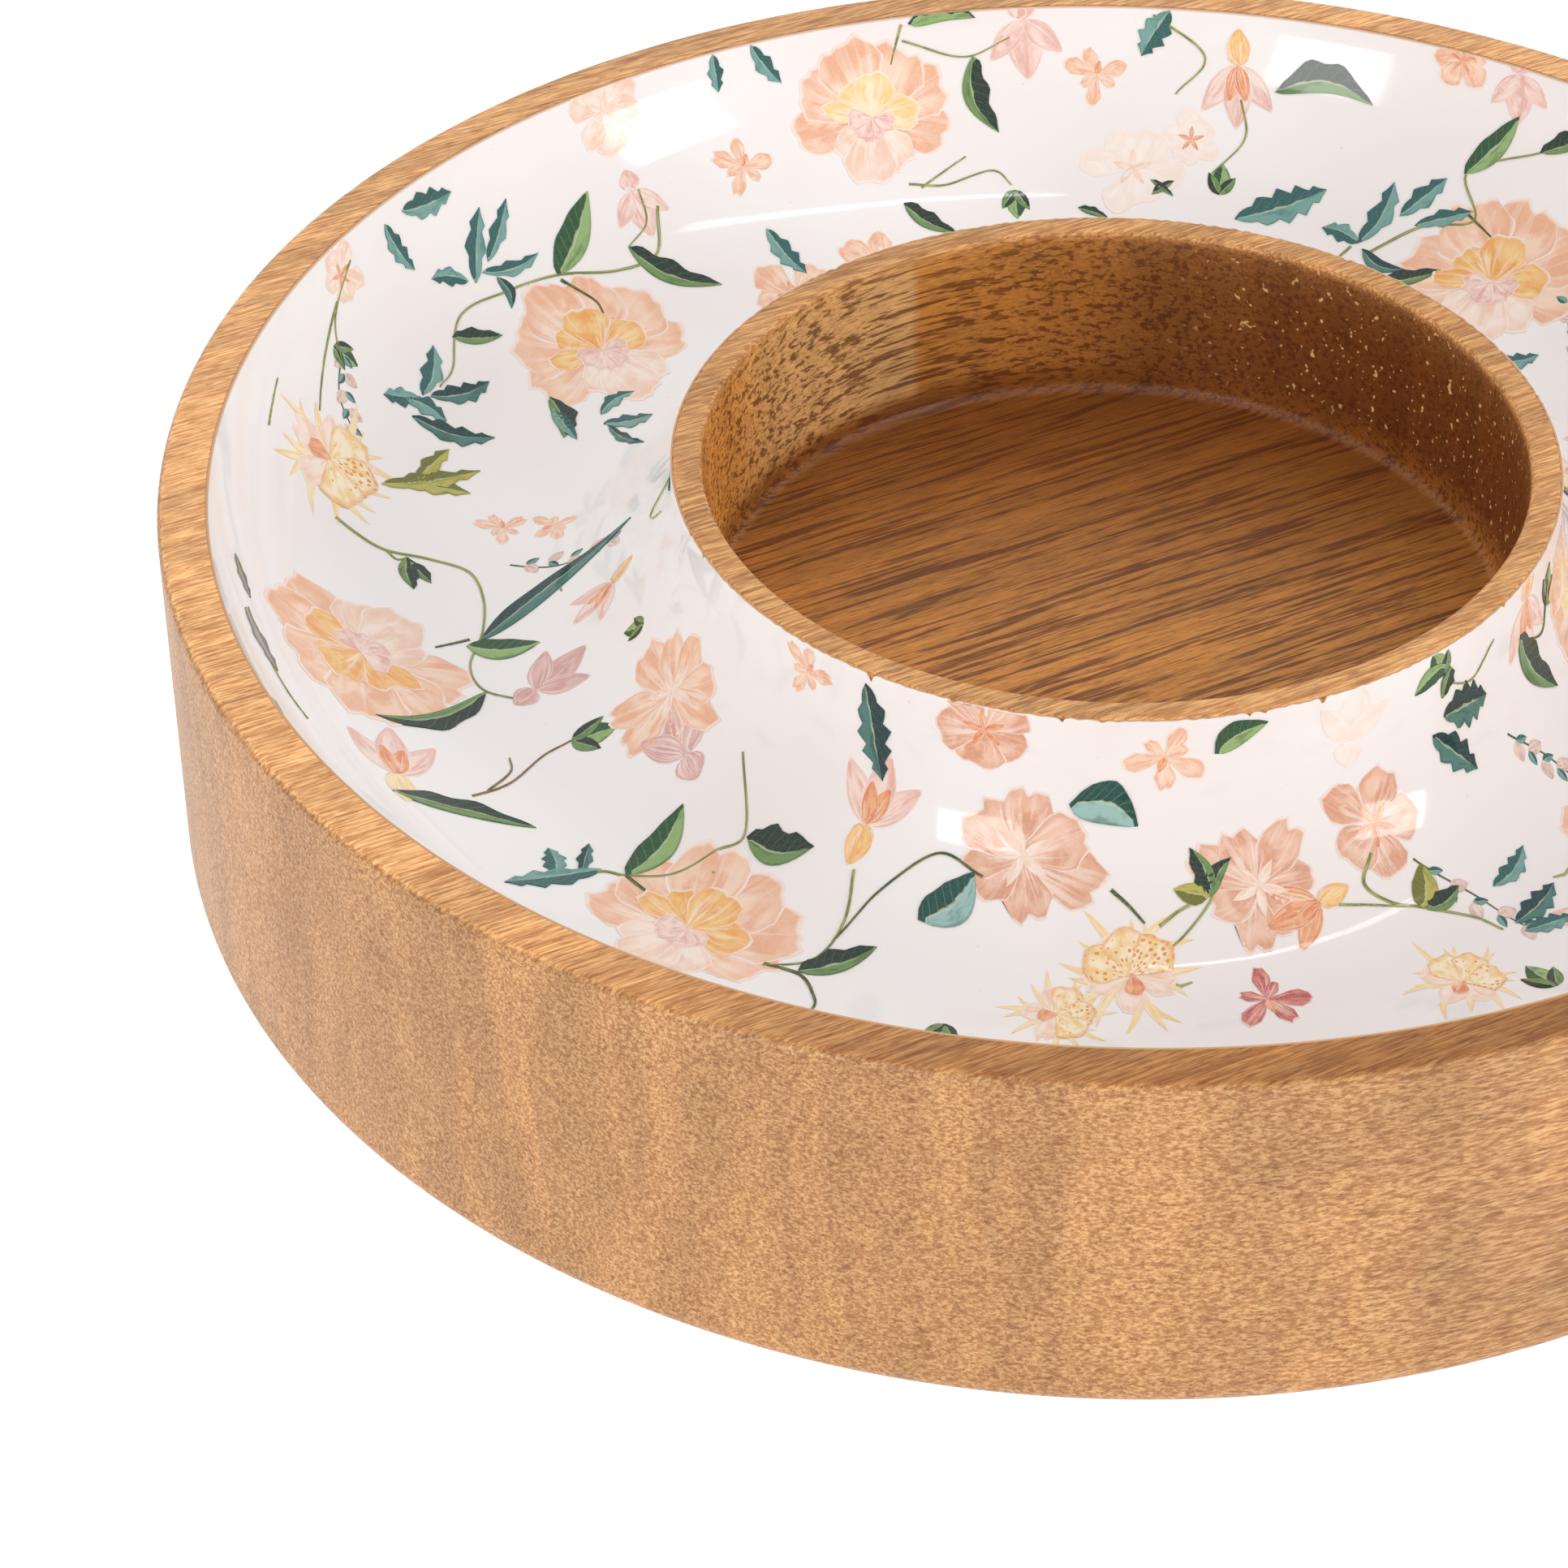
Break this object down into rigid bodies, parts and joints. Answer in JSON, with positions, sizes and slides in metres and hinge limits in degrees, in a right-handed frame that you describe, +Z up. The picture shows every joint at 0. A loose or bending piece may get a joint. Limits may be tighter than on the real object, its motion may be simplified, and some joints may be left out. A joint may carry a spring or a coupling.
{
  "type": "chip and dip server",
  "caption": "Round wooden serving plate with a glossy lined ring channel for chips around a bare wooden dip well in the middle.",
  "frame": {"origin": "centre of the flat base, on the table", "axes": "+Z up along the turning axis; the wood grain runs 32 degrees from +X towards +Y, and -Y is the front"},
  "size_m": [0.3, 0.3, 0.061],
  "materials": {
    "lacquered_wood": "satin",
    "ground_enamel": "gloss",
    "floral_film": "gloss",
    "clear_resin": "gloss"
  },
  "bodies": {
    "root": {"front_board": "lacquered_wood", "middle_board": "lacquered_wood", "rear_board": "lacquered_wood", "ground_coat": "ground_enamel", "printed_film": "floral_film", "clear_coat": "clear_resin"}
  },
  "joints": []
}
